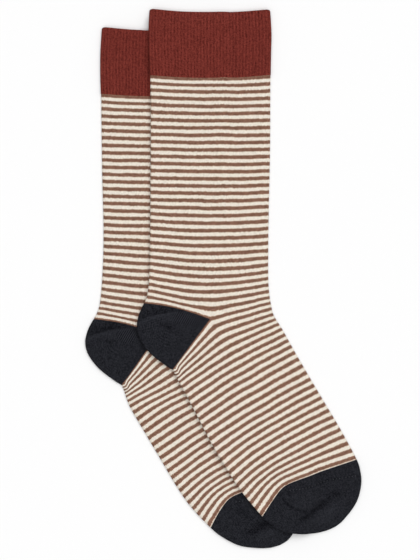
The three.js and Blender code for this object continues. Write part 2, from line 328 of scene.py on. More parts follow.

# %% [markdown]
# ## Creases
# Cloth that has been laid down by hand keeps a few soft creases, most of them in the heel and the toe,
# where the knit is not flat by nature. Each is given as a line with a height, negative for a
# trough, and a softness to the left and the right of it, all in millimetres from the ankle. The under
# layers can't be seen from above. They get a few creases of the same kind.

# %% Creases, dimples and the tuck under each heel
SEAM_LINE = [(60, -128.2), (69, -127.1), (76.5, -125.1), (84.9, -122.2), (92, -120.5), (109.5, -117.7)]
CREASES = {
    "upper": [
        # heel: the fold along its leg side, the swell below it, the dimple and its rim
        ([(-54, -0.4), (-46, 2.7), (-35, 5.2), (-19, 6.7)], -0.62, 4.6, 0.7),
        ([(-55, -3), (-47, 0.6), (-36, 3.5), (-24, 5.2)], 0.9, 0.7, 2.6),
        ([(-34, -4.6), (-31.5, -6.4), (-28, -6.2)], -1.1, 1.0, 1.2),
        ([(-34.5, -0.6), (-31, 0.4), (-28, -1.4), (-28, -4)], 0.5, 1.2, 1.4),
        # tuck where the sole leaves the heel
        ([(-29, -39.5), (-26, -42.5), (-22, -44.5)], -0.6, 1.1, 1.3),
        ([(-29, -43.5), (-26, -45.8), (-22, -48)], 0.3, 1.4, 1.6),
        # toe: two short folds beside the seam, the broad valley and the swell beyond it
        ([(52.5, -132.6), (56.8, -137.6), (63.4, -142), (71.2, -144.1)], -1.0, 0.8, 0.9),
        ([(57.5, -126.6), (58, -129.5), (60, -132.5)], -0.9, 0.9, 1.0),
        ([(76.5, -144), (80.5, -146)], -0.45, 0.8, 0.8),
        ([(66, -152.6), (73.4, -146.9), (78.8, -143), (86.6, -138)], -1.1, 2.6, 1.7),
        ([(82, -141), (92, -133.7), (95.3, -131.5), (100, -128.8)], -0.5, 2.6, 2.2),
        ([(88, -129.6), (93, -131), (99, -131.5)], -0.6, 1.6, 1.6),
        ([(76, -152), (86, -148), (96, -139)], 0.6, 4.5, 5),
        (SEAM_LINE, -0.9, 0.7, 0.7),
        ([(62, -139), (72, -136), (82, -134)], 0.3, 5, 4),
    ],
    "lower": [
        ([(-95, -13), (-86, -10.2), (-74, -6.8), (-59, -5.2)], -1.0, 4.2, 1.3),
        ([(-94, -14.8), (-85, -11.8), (-74, -8.4), (-64, -6.8)], 0.8, 0.7, 2.6),
        ([(-78, -16.2), (-75, -17.6), (-72, -17)], -0.9, 1.2, 1.2),
        ([(-78, -12.6), (-75, -11.8), (-72.4, -13.4)], 0.4, 1.2, 1.4),
        ([(-67, -51), (-64, -54), (-61, -56)], -0.6, 1.1, 1.3),
        ([(-67, -55), (-64, -57.4), (-60.5, -59)], 0.3, 1.4, 1.6),
        ([(20.3, -137.3), (24, -145), (30, -151)], -0.7, 1.8, 2.2),
        ([(27.8, -162.4), (36, -156.6), (46.3, -151.5)], -1.2, 3.2, 2.4),
        ([(36, -164), (45, -160), (54, -157)], 0.5, 3, 3.5),
    ],
}
UNDER_SLIDE = (-38, -11)
UNDER_CREASES = {"upper": [
    ([(-50, 2), (-38, 6), (-24, 8)], 0.45, 1.6, 2.6),
    ([(-30, -40), (-25, -43), (-20, -44)], 0.35, 1.2, 1.5),
    ([(60, -136), (72, -141), (82, -140)], 0.4, 1.8, 2.4),
    ([(70, -154), (84, -149), (97, -138)], 0.5, 3, 3.5),
    ([(-40, 60), (-10, 52), (20, 57)], 0.3, 2.5, 3),
]}
UNDER_CREASES["lower"] = [
    ([(x + UNDER_SLIDE[0], y + UNDER_SLIDE[1]) for x, y in line], *rest)
    for line, *rest in UNDER_CREASES["upper"]
]
print("creases on top:", sum(len(lines) for lines in CREASES.values()))

# %% [markdown]
# ## Pressing the creases in
# A crease could be sculpted with a brush. In code, each point of the cloth looks for the nearest place on
# the crease's line, and is lowered or raised by an amount that fades with the distance and towards both
# ends of the line. Cloth that was smoothed down by hand also rises and falls a little everywhere.

# %% Press creases into cloth
CREASE_END = 0.12
LONG_WAVE = 0.14
SHORT_WAVE = 0.05


def pressed(x, y, creases):
    """Height that the creases add at x, y. Softness is given for the left and the right of each line."""
    total = np.zeros_like(x)
    for line, height, left, right in creases:
        line = np.array(line, float)
        pieces = np.linalg.norm(np.diff(line, axis=0), axis=1)
        length = pieces.sum()
        start = 0
        nearest = np.full_like(x, np.inf)
        signed = np.zeros_like(x)
        along = np.zeros_like(x)
        for a, b, piece in zip(line, line[1:], pieces):
            direction = (b - a) / piece
            u = np.clip((x - a[0]) * direction[0] + (y - a[1]) * direction[1], 0, piece)
            dx = x - a[0] - direction[0] * u
            dy = y - a[1] - direction[1] * u
            off = np.hypot(dx, dy)
            closer = off < nearest
            nearest = np.where(closer, off, nearest)
            signed = np.where(closer, direction[0] * dy - direction[1] * dx, signed)
            along = np.where(closer, start + u, along)
            start += piece
        softness = np.where(signed > 0, left, right)
        way = CREASE_END + (1 - 2 * CREASE_END) * along / length
        faded = np.sin(np.pi * np.clip(way, 0, 1))
        total += height * faded * np.exp(-((nearest / softness) ** 2))
    return total


def unevenness(x, y):
    """The slow rise and fall of cloth that was smoothed down by hand."""
    long_waves = np.sin(x / 17 + y / 41 + 0.6) * np.sin(y / 29 - x / 63 + 1.1)
    short_waves = np.sin(x / 8.5 - y / 23 + 2) * np.sin(y / 12.5 + x / 31)
    return LONG_WAVE * long_waves + SHORT_WAVE * short_waves


deepest = pressed(np.array([76.5]), np.array([-144.5]), CREASES["upper"])
print("height in the upper toe's valley in mm:", deepest.round(2))

# %% [markdown]
# ## Where each sock lies
# Both socks have the same shape. The lower one has slid back and down beneath the upper one, and not quite
# evenly, because cloth gives. Each row has a place along the sock and the slide there, across and along.

# %% Slide the lower sock
PAIR_CENTRE = (10.08, 30.21)
LOWER_SLIDES = [
    (-160, -34.2, -10.8),
    (-148, -38.5, -9.2),
    (-131, -40.2, -9),
    (-94, -39.8, -9.6),
    (-57, -41.5, -10.5),
    (-38, -38.4, -11.7),
    (-8, -39, -12),
    (12, -38, -12),
    (26, -36.6, -13.4),
    (72, -35.1, -13.4),
    (127, -36.6, -13.5),
    (182, -37, -13.4),
    (232, -35.8, -13.7),
]


def laid(sock, place):
    """Where a sock's point lies, measured from the upper sock's ankle."""
    if sock == "upper":
        return place
    return place + through(LOWER_SLIDES, place[..., 1])


print("slide at the lower ankle in mm:", laid("lower", np.zeros(2)).round(1))

# %% [markdown]
# ## The fan of the heel
# A heel pocket is knitted in rows that get shorter and then longer again, so its rows fan out from the
# ankle. It is written as spokes from the ankle to the outline. It fills the corner between the leg's last
# course and the foot's first one, and stands fullest in its middle.

# %% Spokes of the heel
HEEL_SPOKES = [(0, 50.74), (0.25, 54.8), (0.4, 55), (0.6, 52.4), (0.8, 49.2), (1, 47.18)]
HEEL_THICK = LEG_COURSES[-1][-1]
LEG_CORNER = LEG_COURSES[-1][1:3]
FOOT_CORNER = FOOT_COURSES[0][1:3]
HEEL_START = math.atan2(LEG_CORNER[1], LEG_CORNER[0])
HEEL_END = math.atan2(FOOT_CORNER[1], FOOT_CORNER[0]) + 2 * math.pi
HEEL_FULLNESS = 1.8


def fullness(turn, share):
    """How much fuller the pocket stands than flat cloth. share is 0 at its outline and 1 at the ankle."""
    return HEEL_FULLNESS * np.sin(np.pi * turn) * np.sin(np.pi * np.clip(share, 0, 1))


def heel_point(turn, t):
    """A place in the heel pocket: turn fans from its leg edge to its foot edge, t from outline to ankle."""
    reach = through(HEEL_SPOKES, turn)[..., 0]
    angle = HEEL_START + (HEEL_END - HEEL_START) * turn
    off = reach * (1 - t)
    lift = HEEL_EDGE_LIFT * (1 - turn) ** 3 * np.sin(np.pi * np.clip(t, 0, 1))
    return np.stack([np.cos(angle) * off, np.sin(angle) * off + lift], axis=-1)


print("the heel fans over degrees:", round(math.degrees(HEEL_END - HEEL_START)))

# %% [markdown]
# ## One sock over the other
# The upper sock rests on the lower one and comes down to the table beside it. Blender's cloth simulation
# could find that, but for cloth this flat a rule is quicker and comes out the same each time. Points all
# over the lower sock each hold the cloth up out to a short distance, and from there it falls in an even
# slope. Between the thick cuffs, and between the feet, there is a little more air.

# %% Drape the upper sock
REST_GAP = 0.9
CUFF_GAP = 0.4
FOOT_GAP = 0.8
HOLD = 3
FALL = 15
SUPPORT_STEP = 0.5
SUPPORT_COLUMNS = 36
SUPPORT_SPOKES = 24
HEEL_REACH = 50
POINTS_AT_ONCE = 2000


def support_points():
    """Points over the top of the lower sock, with their heights."""
    found = []
    shares = np.linspace(0.02, 0.98, SUPPORT_COLUMNS)
    stretches = [(LEG_COURSES, CUFF_TOP, HEEL_COURSE), (FOOT_COURSES, HEEL_COURSE, TOE_TIP)]
    for rows, start, end in stretches:
        stripe, t = np.meshgrid(np.arange(start, end, SUPPORT_STEP), shares, indexing="ij")
        course = Course(rows, stripe)
        height = top_height(course.thick, np.minimum(t, 1 - t) * course.width)
        past_heel = ease(stripe, HEEL_COURSE + 3, HEEL_COURSE + 9)
        before_toe = 1 - ease(stripe, TOE_COURSE - 5, TOE_COURSE)
        height = height + CUFF_GAP * (stripe < LEG_TOP) + FOOT_GAP * past_heel * before_toe
        place = laid("lower", course.at(t))
        found.append(np.column_stack([place.reshape(-1, 2), height.ravel()]))
    turns = np.linspace(0, 1, SUPPORT_SPOKES)
    turn, t = np.meshgrid(turns, np.linspace(0.02, 0.98, SUPPORT_SPOKES), indexing="ij")
    height = top_height(HEEL_THICK, t * HEEL_REACH) + fullness(turn, t)
    place = laid("lower", heel_point(turn, t))
    found.append(np.column_stack([place.reshape(-1, 2), height.ravel()]))
    return np.concatenate(found)


SUPPORT = support_points().astype(np.float32)


def rest_height(sock, x, y):
    """How high the cloth's underside lies at x, y."""
    if sock == "lower":
        return np.zeros_like(x)
    shape = x.shape
    px, py = x.ravel().astype(np.float32), y.ravel().astype(np.float32)
    height = np.zeros_like(px)
    for start in range(0, len(px), POINTS_AT_ONCE):
        part = slice(start, start + POINTS_AT_ONCE)
        low, high = py[part].min() - FALL, py[part].max() + FALL
        near = SUPPORT[(SUPPORT[:, 1] > low) & (SUPPORT[:, 1] < high)]
        if not len(near):
            continue
        off = np.hypot(px[part, None] - near[None, :, 0], py[part, None] - near[None, :, 1])
        held = (near[None, :, 2] + REST_GAP) * (1 - ease(off, HOLD, FALL))
        height[part] = held.max(axis=1)
    return height.reshape(shape).astype(float)


print("support points:", len(SUPPORT))

# %% [markdown]
# ## Laying the cloth down
# Everything so far comes together here: the sock's slide, what it rests on, its creases and the settled
# folds where it touches the table. The crease height is kept beside each point, so that the materials paint
# shade into the yarn in a trough and paint highlight on a swell.

# %% Lay cloth on what is below
ON_TABLE = 0.5
ON_SOCK = 2.5
UNDER_LAYER = 0.8


def lie(sock, place, height, on_table, on_top):
    """Positions of cloth points, creased, laid on what is below and moved into the frame, and the crease
    height, which the materials use for painted shade and painted highlight.
    on_table is their height where the cloth lies on the table and not on the other sock."""
    place = laid(sock, place)
    x, y = place[..., 0], place[..., 1]
    base = rest_height(sock, x, y)
    height = on_table + (height - on_table) * ease(base, ON_TABLE, ON_SOCK)
    # the crease height shapes the cloth, and the materials also paint shade into its troughs and highlight
    # onto its swells
    crease_and_shade = pressed(x, y, CREASES[sock]) * on_top
    shaped = crease_and_shade + unevenness(x, y) * on_top
    below = pressed(x, y, UNDER_CREASES[sock])
    shaped = shaped + below * (1 - on_top) * (height < UNDER_LAYER)
    z = np.maximum(base + height + shaped, 0)
    return np.stack([x - PAIR_CENTRE[0], y - PAIR_CENTRE[1], z, crease_and_shade], axis=-1)


ankle = lie("upper", np.zeros((1, 2)), np.full(1, 3.0), np.full(1, 3.0), np.ones(1))
print("the upper ankle in the frame in mm:", ankle[0, :3].round(1))

# %% [markdown]
# ## From numbers to a knitted sheet
# Every piece starts as Blender's flat grid. Its corners are moved to the cloth's places, and each corner
# also keeps its place in the knit, counted in wales across and in stripes along, as a UV map. The stitch
# pattern will use that map. The two free edges meet and are merged, and Solidify gives the yarn's depth.

# %% Make a sheet of knit
MERGE_WITHIN = 0.001
SMOOTH_UNDER = math.radians(55)


def knitted(name, place, wales, stripes, wall):
    """A sheet with place[row, column] in mm and the crease that drives painted shade, knit coordinates for
    each, and a wall inwards.
    """
    rows, columns = place.shape[0] - 1, place.shape[1] - 1
    bpy.ops.object.select_all(action="DESELECT")
    bpy.ops.mesh.primitive_grid_add(x_subdivisions=columns, y_subdivisions=rows, size=2)
    piece = bpy.context.object
    piece.name = name
    mesh = piece.data
    corners = np.zeros(len(mesh.vertices) * 3)
    mesh.vertices.foreach_get("co", corners)
    corners = corners.reshape(-1, 3)
    column = np.rint((corners[:, 0] + 1) / 2 * columns).astype(int)
    row = np.rint((corners[:, 1] + 1) / 2 * rows).astype(int)
    mesh.vertices.foreach_set("co", (place[row, column, :3] * MM).ravel())
    # the crease height goes with each point, for painted shade and painted highlight in the colours
    creased = mesh.attributes.new("crease_and_shade", "FLOAT", "POINT")
    creased.data.foreach_set("value", place[row, column, 3].astype(np.float32))
    corner_of = np.zeros(len(mesh.loops), int)
    mesh.loops.foreach_get("vertex_index", corner_of)
    mesh.uv_layers[0].name = "knit"
    knit = np.stack([wales[row, column][corner_of], stripes[row, column][corner_of]], axis=-1)
    mesh.uv_layers["knit"].data.foreach_set("uv", knit.ravel())
    mesh.update()
    bpy.ops.object.mode_set(mode="EDIT")
    bpy.ops.mesh.select_all(action="SELECT")
    bpy.ops.mesh.remove_doubles(threshold=MERGE_WITHIN * MM)
    bpy.ops.mesh.normals_make_consistent(inside=False)
    bpy.ops.object.mode_set(mode="OBJECT")
    highest = max(mesh.polygons, key=lambda face: face.center.z)
    if highest.normal.z < 0:
        mesh.flip_normals()
    thicker = piece.modifiers.new("yarn_depth", "SOLIDIFY")
    thicker.thickness = wall * MM
    thicker.offset = -1
    bpy.ops.object.modifier_apply(modifier=thicker.name)
    bpy.ops.object.shade_smooth_by_angle(angle=SMOOTH_UNDER)
    print(name, "faces:", len(mesh.polygons))
    return piece


print("a sheet's corners merge within mm:", MERGE_WITHIN)

# %% [markdown]
# ## A way to write materials
# A knit pattern is arithmetic on its two coordinates. The small class below wraps a socket of a material,
# so that plus, times and the rest add Math nodes, and a formula can be read as one.

# %% Arithmetic on sockets
class Wire:
    """A value in a material. Other nodes are added with node()."""

    def __init__(self, tree, socket):
        self.tree = tree
        self.socket = socket

    def node(self, kind, settings, inputs, output=0):
        made = self.tree.nodes.new(kind)
        for name, value in settings.items():
            setattr(made, name, value)
        for name, value in inputs.items():
            if isinstance(value, Wire):
                self.tree.links.new(value.socket, made.inputs[name])
            else:
                made.inputs[name].default_value = value
        return Wire(self.tree, made.outputs[output])

    def math(self, operation, first, second=0.0, clamped=False):
        settings = {"operation": operation, "use_clamp": clamped}
        return self.node("ShaderNodeMath", settings, {0: first, 1: second})

    def __add__(self, other):
        return self.math("ADD", self, other)

    def __radd__(self, other):
        return self.math("ADD", other, self)

    def __sub__(self, other):
        return self.math("SUBTRACT", self, other)

    def __rsub__(self, other):
        return self.math("SUBTRACT", other, self)

    def __mul__(self, other):
        return self.math("MULTIPLY", self, other)

    def __rmul__(self, other):
        return self.math("MULTIPLY", other, self)

    def __truediv__(self, other):
        return self.math("DIVIDE", self, other)

    def __pow__(self, other):
        return self.math("POWER", self, other)

    def __abs__(self):
        return self.math("ABSOLUTE", self)

    def sine(self):
        return self.math("SINE", self)

    def cosine(self):
        return self.math("COSINE", self)

    def fraction(self):
        return self.math("FRACT", self)

    def floor(self):
        return self.math("FLOOR", self)

    def larger(self, other):
        return self.math("MAXIMUM", self, other)

    def step(self, start, end):
        """0 at start, 1 at end, and straight between them."""
        return ((self - start) / (end - start)).clamp()

    def clamp(self):
        return self.math("ADD", self, 0.0, clamped=True)

    def mix(self, first, second):
        """The first colour where this is 0 and the second where it is 1."""
        inputs = {0: self, 6: first, 7: second}
        return self.node("ShaderNodeMix", {"data_type": "RGBA"}, inputs, output=2)

    def axis(self, number):
        return self.node("ShaderNodeSeparateXYZ", {}, {0: self}, output=number)

    def noise(self, vector, scale, detail=2.0):
        inputs = {"Vector": vector, "Scale": scale, "Detail": detail}
        return self.node("ShaderNodeTexNoise", {"noise_dimensions": "3D"}, inputs)


print("materials are written with", Wire.__name__)

# %% [markdown]
# ## What all the knits share
# A plain stitch shows as a V, a pair of slanting strands, and a column of them is a wale. Each strand
# stands up in its middle and has a tone of its own, because cotton yarn is never quite even. All of this
# is in the sheet's knit coordinates, so it bends and narrows with the cloth.

# %% Stitches of plain knit
UNDYED = (0.8, 0.8, 0.8)
COTTON_ROUGHNESS = 0.92
STRAND_MIDDLE = 0.25
PLUMPNESS = 0.6


def knit_material(name, gloss):
    """A matt cotton material, with its shader, its wale and stripe coordinates and the cloth's crease,
    which the colours use for painted shade in troughs and painted highlight on swells.
    """
    material, shader = plain_material(name, UNDYED, COTTON_ROUGHNESS, gloss)
    start = Wire(material.node_tree, None)
    place = start.node("ShaderNodeUVMap", {"uv_map": "knit"}, {})
    crease_and_shade = start.node("ShaderNodeAttribute", {"attribute_name": "crease_and_shade"}, {}, output=2)
    return material, shader, place.axis(0), place.axis(1), crease_and_shade


def stitches(wale, course, slant):
    """Height of plain stitches, each a pair of slanting strands, and the course as the strands run."""
    from_middle = abs(wale.fraction() - 0.5)
    run = course - (from_middle - STRAND_MIDDLE) * slant
    plump = abs((run * math.pi).sine()) ** PLUMPNESS
    rounded = ((from_middle - STRAND_MIDDLE) * (2 * math.pi)).cosine()
    return plump * rounded, run


def own_tone(wale, rows):
    """A tone from 0 to 1 for each strand, two strands to a wale, that changes from row to row."""
    cell = wale.node("ShaderNodeCombineXYZ", {}, {0: (wale * 2).floor(), 1: rows.floor()})
    return cell.node("ShaderNodeTexWhiteNoise", {"noise_dimensions": "3D"}, {"Vector": cell})


def finish_knit(shader, colour, height, depth):
    """Connects the colour and the stitches' height, depth in mm."""
    bump = height.node("ShaderNodeBump", {}, {"Strength": 1.0, "Distance": depth * MM, "Height": height})
    colour.tree.links.new(colour.socket, shader.inputs["Base Color"])
    bump.tree.links.new(bump.socket, shader.inputs["Normal"])


print("strands to a wale: 2")

# %% [markdown]
# ## Striped knit
# The leg and foot are plain knit in two yarns, three courses of each in turn. The colour follows the
# slanting strands of the stitches, and each strand reaches a little more or less far, so the edge of a
# stripe is a row of small uneven notches, as in real knit. Where the yarns change, brown shines through
# the cream as a thin warm line. A slow noise moves the courses. Painted shade darkens the yarn between the
# strands and in the creases' troughs, and painted highlight lightens the strands' middles and the swells.

# %% Brown and cream stripes
COURSES_PER_STRIPE = 6
# each yarn's two colours are the ends of a mix that carries the yarn's random tone and also painted shade
# and highlight
CREAM = (0.950, 0.882, 0.780, 1)
CREAM_SHADE_AND_DARK_TONE = (0.720, 0.660, 0.573, 1)
BROWN = (0.340, 0.177, 0.121, 1)
BROWN_SHADE_AND_DARK_TONE = (0.105, 0.050, 0.032, 1)
WARM = (0.62, 0.34, 0.17, 1)
DRIFT = 1.5
DRIFT_SCALE = 45
UNEVEN = 0.6
BROWN_HALF = 0.252
CHANGE = 0.02
WARM_REACH = 0.06
WARMTH = 0.55
STRIPED_GLOSS = 0.15
STRIPED_SLANT = 1.0
STRIPED_DEPTH = 0.16

striped, striped_shader, wale, stripe, crease_and_shade = knit_material("striped_cotton", STRIPED_GLOSS)
solid = wale.node("ShaderNodeTexCoord", {}, {}, output=3)
drift = wale.noise(solid, DRIFT_SCALE) - 0.5
courses = stripe * COURSES_PER_STRIPE + drift * DRIFT
strands, run = stitches(wale, courses, STRIPED_SLANT)
at_stitch = own_tone(wale, run * (2 / COURSES_PER_STRIPE)) - 0.5
from_brown = abs(((run + at_stitch * UNEVEN) / COURSES_PER_STRIPE + 0.5).fraction() - 0.5)
brownness = ((BROWN_HALF - from_brown) / CHANGE + 0.5).clamp()
at_change = (1 - abs(from_brown - BROWN_HALF) / WARM_REACH).clamp()
# lit mixes painted light with the yarn's own tone: strands paint highlight on their middles and shade
# between them, creases paint shade in troughs and highlight on swells
lit = (strands * 0.35 + own_tone(wale, run) * 0.6 + crease_and_shade * 0.35).clamp()
cream = lit.mix(CREAM_SHADE_AND_DARK_TONE, CREAM)
brown = lit.mix(BROWN_SHADE_AND_DARK_TONE, BROWN)
two_yarns = brownness.mix(cream, brown)
stripes_colour = (at_change * WARMTH).mix(two_yarns, WARM)
finish_knit(striped_shader, stripes_colour, strands, STRIPED_DEPTH)
print("stripe yarns: 2, courses in a pair of stripes:", COURSES_PER_STRIPE)

# %% [markdown]
# ## Rib knit
# The cuff is rib, where wales of plain stitches stand up and the ones between them sink back. The ribs
# themselves are in the mesh, and their valleys are painted darker, as painted shade, as are the gaps
# between the strands. The yarn is spun from a few shades of rust, so each strand has its own tone and the
# cuff looks flecked close up.

# %% Rust red rib
RIBS = 77
RUST_DARK = (0.080, 0.0105, 0.0078, 1)
RUST_LIGHT = (0.290, 0.052, 0.0385, 1)
RIB_GLOSS = 0.08
RIB_SLANT = 0.8
RIB_DEPTH = 0.2
STREAK_LENGTH = 0.12

ribbed, ribbed_shader, wale, stripe, _ = knit_material("rust_rib", RIB_GLOSS)
courses = stripe * COURSES_PER_STRIPE
strands, run = stitches(wale, courses, RIB_SLANT)
streak_place = wale.node("ShaderNodeCombineXYZ", {}, {0: wale, 1: courses * STREAK_LENGTH})
streaks = wale.noise(streak_place, 0.9, 1.0).step(0.4, 0.6)
# valley_shade is painted shade in the recesses between the ribs
valley_shade = (wale * math.pi).cosine() * 0.5 + 0.5
own = own_tone(wale, run * 1.7)
# strands paint highlight on their middles and shade between them; own and streaks are the yarn's own flecks
tone = (streaks * 0.12 + own * 0.7 + strands * 0.2 - valley_shade * 0.22 + 0.02).clamp()
rust = tone.mix(RUST_DARK, RUST_LIGHT)
finish_knit(ribbed_shader, rust, strands, RIB_DEPTH)
print("ribs round a cuff:", RIBS)

# %% [markdown]
# ## Dark knit
# Heel and toe are plain knit in a blue so dark that it is nearly black. It shows its stitches only as a
# fine grain, so each small cell of yarn gets its own tone, on a plain slanting grid: the heel's own knit
# mirrors at its mitre, and there random tones would pair up into rings. Beside each ankle the wales are
# pulled apart and show as fine lines, and round each dimple they bend into faint arcs on one side.

# %% Dark navy
NAVY_DARK = (0.0035, 0.0037, 0.0055, 1)
NAVY_LIGHT = (0.0335, 0.0348, 0.0425, 1)
NAVY_GLOSS = 0.05
NAVY_SLANT = 0.9
NAVY_DEPTH = 0.25
STRETCHED = [(-26.6, -29.5, 15), (-72.5, -43, 9)]
STRETCH_HEIGHT = 6.5
WALES_SLANT = math.radians(60)
STRETCH_PITCH = 1.45
GRAIN_ACROSS = 0.94
GRAIN_ALONG = 1.75
DIMPLES = [(-38.6, -34.2), (-76.6, -46.2)]
ARC_PITCH = 2.3
ARCS_START = 8
ARCS_REACH = 26
ARCS_SOFTNESS = 20

navy, navy_shader, wale, course, crease_and_shade = knit_material("dark_navy_cotton", NAVY_GLOSS)
strands, _ = stitches(wale, course, NAVY_SLANT)
from_middle = abs(wale.fraction() - 0.5)
solid = wale.node("ShaderNodeTexCoord", {}, {}, output=3)
x, y = solid.axis(0) / MM, solid.axis(1) / MM
stretched = None
for middle_x, middle_y, reach in STRETCHED:
    off = ((x - middle_x) / reach) ** 2 + ((y - middle_y) / STRETCH_HEIGHT) ** 2
    patch = (1 - off).clamp()
    stretched = patch if stretched is None else stretched.larger(patch)
over_lines = x * math.sin(WALES_SLANT) - y * math.cos(WALES_SLANT)
along_lines = x * math.cos(WALES_SLANT) + y * math.sin(WALES_SLANT)
pulled = (over_lines * (2 * math.pi / STRETCH_PITCH)).sine() * stretched
arcs = None
for middle_x, middle_y in DIMPLES:
    off = ((x - middle_x) ** 2 + (y - middle_y) ** 2) ** 0.5
    fading = (off / ARCS_START).clamp() * (1 - off / ARCS_REACH).clamp()
    lower_left = (0.3 - (x - middle_x + y - middle_y) / ARCS_SOFTNESS).clamp()
    rings = (off * (2 * math.pi / ARC_PITCH)).sine() * fading * lower_left
    arcs = rings if arcs is None else arcs + rings
own = own_tone(over_lines * GRAIN_ACROSS, along_lines * GRAIN_ALONG)
# painted shade and highlight: strands lighter in their middles and darker towards the wale edges
# (from_middle), creases darker in troughs and lighter on swells; own is the yarn's random tone
lit = strands * 0.3 + own * 0.68 - from_middle * 0.25 + pulled * 0.95 + arcs * 0.14 + crease_and_shade * 0.28
lit = (lit + 0.01).clamp()
navy_colour = lit.mix(NAVY_DARK, NAVY_LIGHT)
finish_knit(navy_shader, navy_colour, strands, NAVY_DEPTH)
print("dark pieces: heels and toes")

# %% [markdown]
# ## A tube of knit
# Cuff, leg and foot are made by the same steps: go round each course, lay its points down, and number the
# knit. The number of wales stays the same all along a tube, so they narrow with it. Only a cuff has ribs,
# which fade out at its rim. Where the sole leaves the heel, the first courses are tucked in.

# %% Points of a tube
WALES = 2 * RIBS
STRIPE_HEIGHT = 5.45
RIM_FADE = 2
TUCK = 0.55
TUCK_IN = 2.8
TUCK_REACH = 2


def tucked(grid, across):
    """Stripe numbers of a foot. The first ones after the heel dip before they reach the sole's edge."""
    begun = ease(grid, HEEL_COURSE, HEEL_COURSE + 0.9)
    not_over = 1 - ease(grid, HEEL_COURSE + 1.6, HEEL_COURSE + 3.6)
    near_edge = np.exp(-(((across - TUCK_IN) / TUCK_REACH) ** 2))
    return grid - TUCK * begun * not_over * near_edge


def tube_points(sock, rows, stripe, face_steps, fold_steps, ribs=0.0, inset=0.0):
    """Cloth points of a tube with one row for each stripe number, and their wales and stripes."""
    course = Course(rows, stripe)
    across, height, side, up, arc = round_tube(course.width, course.thick, face_steps, fold_steps)
    share = arc / arc[:, -1:]
    from_rim = (stripe - CUFF_TOP)[:, None] * STRIPE_HEIGHT
    raised = ribs * (0.5 - 0.5 * np.cos(2 * np.pi * share * RIBS)) * ease(from_rim, 0, RIM_FADE)
    across = across + side * raised
    height = np.maximum(height + up * raised, 0)
    full_height = top_height(course.thick, 0)[:, None] + ribs
    width = course.width[:, None]
    from_edge = np.minimum(across, width - across)
    on_table = settled(height, full_height, from_edge)
    grid = np.repeat(stripe[:, None], across.shape[1], axis=1)
    place = Course(rows, grid).at(0.5 + (across / width - 0.5) * (1 - 2 * inset / width))
    on_top = top_layer(height, full_height)
    numbers = tucked(grid, np.maximum(across, 0)) if rows is FOOT_COURSES else grid
    return lie(sock, place, height, on_table, on_top), share * WALES, numbers


print("wales round a tube:", WALES)

# %% [markdown]
# ## Dressing a piece
# Each knitted piece takes the place of one plain solid of the CAD part, with its material and slot. A
# small helper names what a piece lies on: an upper piece lies on the lower sock, a lower piece on the
# table.

# %% What each piece is made of and lies on
def dress(piece, node, material):
    """Gives the piece its material and slot, hides the CAD node that it stands for and attaches the piece
    to the root body.
    """
    piece.data.materials.append(material)
    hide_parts(node)
    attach(piece, "root")


def what_is_below(sock, parts):
    """The pieces that a piece lies on."""
    return [f"lower_{part}_knit" for part in parts] if sock == "upper" else [table_top]


print("an upper leg lies on:", what_is_below("upper", ["leg"]))

# %% [markdown]
# ## Legs and feet
# These are the long plain tubes. Four rows of mesh for each stripe are enough, because the stitches are
# in the material. Cut open, a leg or foot is twice as wide as it lies and as long as its middle line.

# %% Make legs and feet
ROWS_PER_STRIPE = 4
FACE_STEPS = 72
FOLD_STEPS = 8
PLAIN_WALL = 0.95
LEG_FLAT = (0.180, 0.176)
FOOT_FLAT = (0.180, 0.135)
for sock in ("lower", "upper"):
    stretches = [
        ("leg", LEG_COURSES, LEG_TOP, HEEL_COURSE, LEG_FLAT),
        ("foot", FOOT_COURSES, HEEL_COURSE, TOE_COURSE, FOOT_FLAT),
    ]
    for part, rows, start, end, flat in stretches:
        stripe_rows = np.linspace(start, end, round((end - start) * ROWS_PER_STRIPE) + 1)
        place, wales, stripes = tube_points(sock, rows, stripe_rows, FACE_STEPS, FOLD_STEPS)
        piece = knitted(f"{sock}_{part}_knit", place, wales, stripes, PLAIN_WALL)
        dress(piece, f"{sock}_{part}", striped)

# %% [markdown]
# ## Cuffs
# The ribs of a cuff are real ridges here, about six columns of mesh to each. The top edge is where the
# knitting began. Its courses are drawn in a little at both ends, so the cuff's corners are round.

# %% Make cuffs
CUFF_FACE_STEPS = 215
CUFF_FOLD_STEPS = 16
CUFF_ROWS = 36
CORNER = 1.5
CORNER_ROWS = 6
RIB_HEIGHT = 0.38
CUFF_WALL = 1.3
for sock in ("lower", "upper"):
    corner = CORNER / STRIPE_HEIGHT
    rim = CUFF_TOP + corner * np.linspace(0, 1, CORNER_ROWS)
    stripe_rows = np.concatenate([rim, np.linspace(rim[-1], LEG_TOP, CUFF_ROWS + 1)[1:]])
    below_rim = np.clip((stripe_rows - CUFF_TOP) / corner, 0, 1)
    inset = CORNER * (1 - np.sqrt(1 - (1 - below_rim) ** 2))[:, None]
    place, wales, stripes = tube_points(
        sock, LEG_COURSES, stripe_rows, CUFF_FACE_STEPS, CUFF_FOLD_STEPS, RIB_HEIGHT, inset
    )
    piece = knitted(f"{sock}_cuff_knit", place, wales, stripes, CUFF_WALL)
    dress(piece, f"{sock}_cuff", ribbed)

# %% [markdown]
# ## Heels
# A heel pocket is knitted in rows that get shorter and then longer again, so its rows fan out from the
# ankle. The mesh fans in the same way. Its columns run from the ankle over the top layer to the outline,
# round the fold, and back to the ankle below. The two halves of the knit meet along a mitre.

# %% Make heels
WALE_WIDTH = 1.6
COURSE_HEIGHT = 1.2
HEEL_ROWS = 96
HEEL_FACE_STEPS = 80
HEEL_FOLD_STEPS = 10
ANKLE_GAP = 0.1
POCKET_WALL = 1.1


